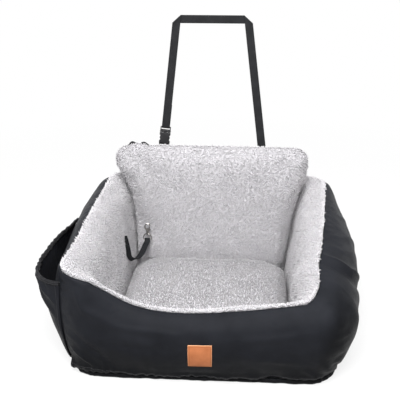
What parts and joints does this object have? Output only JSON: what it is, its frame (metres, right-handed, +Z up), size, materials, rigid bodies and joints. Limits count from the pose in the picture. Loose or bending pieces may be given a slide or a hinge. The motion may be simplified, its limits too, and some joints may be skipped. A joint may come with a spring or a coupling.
{
  "type": "dog car seat",
  "caption": "Padded dog car seat with plush lined walls, loose seat and back cushions, side pocket, headrest strap with buckle and a tether with a snap hook.",
  "frame": {"origin": "centre of the flat underside", "axes": "+Z up, +X to the right of someone facing the seat, +Y towards the car seat's back"},
  "size_m": [0.6511, 0.6452, 0.6328],
  "materials": {
    "outer_fabric": "dense black woven polyester with a faint satin sheen",
    "binding": "black ribbed binding tape",
    "plush": "light grey short pile plush",
    "padding": "white polyester fibre and foam",
    "bottom_fabric": "black non-slip fabric with small dots",
    "board": "stiff foamed board",
    "cushion_underside": "dark grey plain weave",
    "leather": "tan leather with a pressed border",
    "webbing": "black woven webbing",
    "buckle_plastic": "black moulded acetal",
    "hook_metal": "dark nickel plated die casting"
  },
  "bodies": {
    "shell": {"front_padding": "padding", "front_lining": "plush", "front_cover": "outer_fabric", "right_padding": "padding", "right_lining": "plush", "right_cover": "outer_fabric", "rear_padding": "padding", "rear_lining": "plush", "rear_cover": "outer_fabric", "left_padding": "padding", "left_lining": "plush", "left_cover": "outer_fabric", "base_board": "board", "bottom_panel": "bottom_fabric", "hem_roll": "outer_fabric", "cushion_top": "plush", "cushion_underside": "cushion_underside", "cushion_filling": "padding", "pocket_panel": "outer_fabric", "pocket_hem": "binding", "leather_patch": "leather", "headrest_strap": "webbing", "anchor_strap": "webbing", "tether_strap": "webbing", "buckle_socket": "buckle_plastic", "buckle_plug": "buckle_plastic"},
    "backrest": {"backrest_front": "plush", "backrest_rear": "outer_fabric", "backrest_filling": "padding"},
    "left_latch": {"latch_arm_left": "buckle_plastic"},
    "right_latch": {"latch_arm_right": "buckle_plastic"},
    "eye": {"hook_eye": "hook_metal"},
    "claw": {"hook_claw": "hook_metal", "gate_pin": "hook_metal"},
    "gate": {"hook_gate": "hook_metal"}
  },
  "joints": [
    {"name": "backrest_lift", "type": "slide", "parent": "shell", "child": "backrest", "axis": [0, 0.1045, 0.9945], "range_m": [0, 0.12]},
    {"name": "left_latch_squeeze", "type": "hinge", "parent": "shell", "child": "left_latch", "pos_m": [-0.13011, 0.28886, 0.35267], "axis": [0, -0.9613, 0.2756], "range_deg": [0, 7], "stiffness_Nm_per_rad": 0.02},
    {"name": "right_latch_squeeze", "type": "hinge", "parent": "shell", "child": "right_latch", "pos_m": [-0.11299, 0.28843, 0.35117], "axis": [0, 0.9613, -0.2756], "range_deg": [0, 7], "stiffness_Nm_per_rad": 0.02},
    {"name": "eye_swing", "type": "hinge", "parent": "shell", "child": "eye", "pos_m": [-0.152, 0.12811, 0.13], "axis": [1, 0, 0], "range_deg": [0, 80]},
    {"name": "hook_swivel", "type": "hinge", "parent": "eye", "child": "claw", "pos_m": [-0.152, 0.12811, 0.13], "axis": [0, 0.2419, 0.9703], "continuous": true},
    {"name": "gate_press", "type": "hinge", "parent": "claw", "child": "gate", "pos_m": [-0.1484, 0.13355, 0.15183], "axis": [0, -0.9703, 0.2419], "range_deg": [0, 25], "stiffness_Nm_per_rad": 0.003}
  ],
  "couplings": [
    {"joint": "right_latch_squeeze", "follows": "left_latch_squeeze", "ratio": 1}
  ]
}
